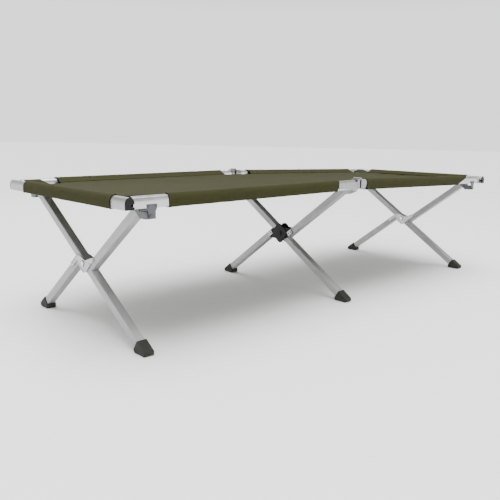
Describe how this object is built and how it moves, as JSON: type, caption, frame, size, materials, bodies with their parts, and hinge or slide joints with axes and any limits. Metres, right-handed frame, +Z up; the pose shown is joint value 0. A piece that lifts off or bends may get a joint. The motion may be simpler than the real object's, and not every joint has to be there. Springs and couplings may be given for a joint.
{
  "type": "folding cot",
  "caption": "Folding camp bed with crossed tube legs, hinged rails, slide-out end bars and a stretched fabric bed.",
  "frame": {"origin": "centre of the base: midway along and across the cot, on the floor", "axes": "+X along the cot from its left end to its right end, +Y from the front rail to the back rail, +Z up"},
  "size_m": [1.903, 0.7, 0.4485],
  "materials": {
    "aluminium_tube": "satin extruded",
    "bracket_metal": "satin pressed",
    "steel": "bright rivet",
    "black_plastic": "moulded",
    "rubber_foot": "moulded",
    "cloth": "coated woven"
  },
  "bodies": {
    "leg_a_mid": {"leg_a_2": "aluminium_tube", "foot_a_2": "rubber_foot"},
    "leg_b_mid": {"leg_b_upper_2": "aluminium_tube", "leg_b_lower_2": "aluminium_tube", "joint_plate_2_l": "black_plastic", "joint_plate_2_r": "black_plastic", "cross_pin_2": "black_plastic", "foot_b_2": "rubber_foot"},
    "front_left": {"rail_front_l": "aluminium_tube", "rail_plug_front_l": "black_plastic", "hinge_front_l": "bracket_metal", "sleeve_front_l": "cloth", "hanger_front_1": "bracket_metal", "bracket_front_2": "bracket_metal"},
    "front_right": {"rail_front_r": "aluminium_tube", "rail_plug_front_r": "black_plastic", "hinge_front_r": "bracket_metal", "sleeve_front_r": "cloth", "hanger_front_3": "bracket_metal"},
    "back_left": {"rail_back_l": "aluminium_tube", "rail_plug_back_l": "black_plastic", "hinge_back_l": "bracket_metal", "sleeve_back_l": "cloth", "hanger_back_1": "bracket_metal", "bracket_back_2": "bracket_metal", "panel_l": "cloth"},
    "back_right": {"rail_back_r": "aluminium_tube", "rail_plug_back_r": "black_plastic", "hinge_back_r": "bracket_metal", "sleeve_back_r": "cloth", "hanger_back_3": "bracket_metal", "panel_r": "cloth"},
    "swing_back_1": {"bracket_back_1": "bracket_metal"},
    "swing_front_1": {"bracket_front_1": "bracket_metal"},
    "swing_back_3": {"bracket_back_3": "bracket_metal"},
    "swing_front_3": {"bracket_front_3": "bracket_metal"},
    "end_left": {"end_bar_l": "aluminium_tube", "bar_plug_l_front": "black_plastic", "bar_plug_l_back": "black_plastic"},
    "end_right": {"end_bar_r": "aluminium_tube", "bar_plug_r_front": "black_plastic", "bar_plug_r_back": "black_plastic"},
    "leg_a_left": {"leg_a_1": "aluminium_tube", "foot_a_1": "rubber_foot"},
    "leg_b_left": {"leg_b_upper_1": "aluminium_tube", "leg_b_lower_1": "aluminium_tube", "joint_plate_1_l": "aluminium_tube", "joint_plate_1_r": "aluminium_tube", "cross_pin_1": "steel", "foot_b_1": "rubber_foot"},
    "leg_a_right": {"leg_a_3": "aluminium_tube", "foot_a_3": "rubber_foot"},
    "leg_b_right": {"leg_b_upper_3": "aluminium_tube", "leg_b_lower_3": "aluminium_tube", "joint_plate_3_l": "aluminium_tube", "joint_plate_3_r": "aluminium_tube", "cross_pin_3": "steel", "foot_b_3": "rubber_foot"}
  },
  "joints": [
    {"name": "close", "type": "hinge", "parent": "leg_a_mid", "child": "leg_b_mid", "pos_m": [-0.02696, 0, 0.21243], "axis": [-0.9999, 0, -0.0131], "range_deg": [0, 104], "deforming": ["panel_l", "panel_r"]},
    {"name": "front_pivot_mid", "type": "hinge", "parent": "leg_b_mid", "child": "front_left", "pos_m": [-0.02949, -0.2985, 0.40561], "axis": [-0.9999, 0, -0.0131], "range_deg": [-52, 0]},
    {"name": "back_pivot_mid", "type": "hinge", "parent": "leg_a_mid", "child": "back_left", "pos_m": [-0.02949, 0.2985, 0.40561], "axis": [-0.9999, 0, -0.0131], "range_deg": [0, 52]},
    {"name": "fold", "type": "hinge", "parent": "back_left", "child": "back_right", "pos_m": [0, 0.327, 0.4445], "axis": [0, -1, 0], "range_deg": [0, 180]},
    {"name": "fold_front", "type": "hinge", "parent": "front_left", "child": "front_right", "pos_m": [0, -0.327, 0.4445], "axis": [0, -1, 0], "range_deg": [0, 180]},
    {"name": "swing_left", "type": "hinge", "parent": "back_left", "child": "swing_back_1", "pos_m": [-0.8712, 0.327, 0.37759], "axis": [0, -1, 0], "range_deg": [0, 90]},
    {"name": "swing_front_left", "type": "hinge", "parent": "front_left", "child": "swing_front_1", "pos_m": [-0.8712, -0.327, 0.37759], "axis": [0, -1, 0], "range_deg": [0, 90]},
    {"name": "back_pivot_left", "type": "hinge", "parent": "swing_back_1", "child": "leg_a_left", "pos_m": [-0.87142, 0.2985, 0.39459], "axis": [-0.9999, 0, -0.0131], "range_deg": [-52, 0]},
    {"name": "cross_left", "type": "hinge", "parent": "leg_a_left", "child": "leg_b_left", "pos_m": [-0.86889, 0, 0.20141], "axis": [-0.9999, 0, -0.0131], "range_deg": [0, 104]},
    {"name": "slide_left", "type": "slide", "parent": "back_left", "child": "end_left", "axis": [0, 1, 0], "range_m": [0, 0.7]},
    {"name": "swing_right", "type": "hinge", "parent": "back_right", "child": "swing_back_3", "pos_m": [0.8552, 0.327, 0.3778], "axis": [0, 1, 0], "range_deg": [0, 90]},
    {"name": "swing_front_right", "type": "hinge", "parent": "front_right", "child": "swing_front_3", "pos_m": [0.8552, -0.327, 0.3778], "axis": [0, 1, 0], "range_deg": [0, 90]},
    {"name": "back_pivot_right", "type": "hinge", "parent": "swing_back_3", "child": "leg_a_right", "pos_m": [0.85542, 0.2985, 0.3948], "axis": [-0.9999, 0, 0.0131], "range_deg": [-52, 0]},
    {"name": "cross_right", "type": "hinge", "parent": "leg_a_right", "child": "leg_b_right", "pos_m": [0.85289, 0, 0.20161], "axis": [-0.9999, 0, 0.0131], "range_deg": [0, 104]},
    {"name": "slide_right", "type": "slide", "parent": "back_right", "child": "end_right", "axis": [0, 1, 0], "range_m": [0, 0.7]}
  ],
  "couplings": [
    {"joint": "front_pivot_mid", "follows": "close", "ratio": -0.5},
    {"joint": "back_pivot_mid", "follows": "close", "ratio": 0.5},
    {"joint": "fold_front", "follows": "fold", "ratio": 1},
    {"joint": "swing_front_left", "follows": "swing_left", "ratio": 1},
    {"joint": "back_pivot_left", "follows": "close", "ratio": -0.5},
    {"joint": "cross_left", "follows": "close", "ratio": 1},
    {"joint": "swing_front_right", "follows": "swing_right", "ratio": 1},
    {"joint": "back_pivot_right", "follows": "close", "ratio": -0.5},
    {"joint": "cross_right", "follows": "close", "ratio": 1}
  ]
}
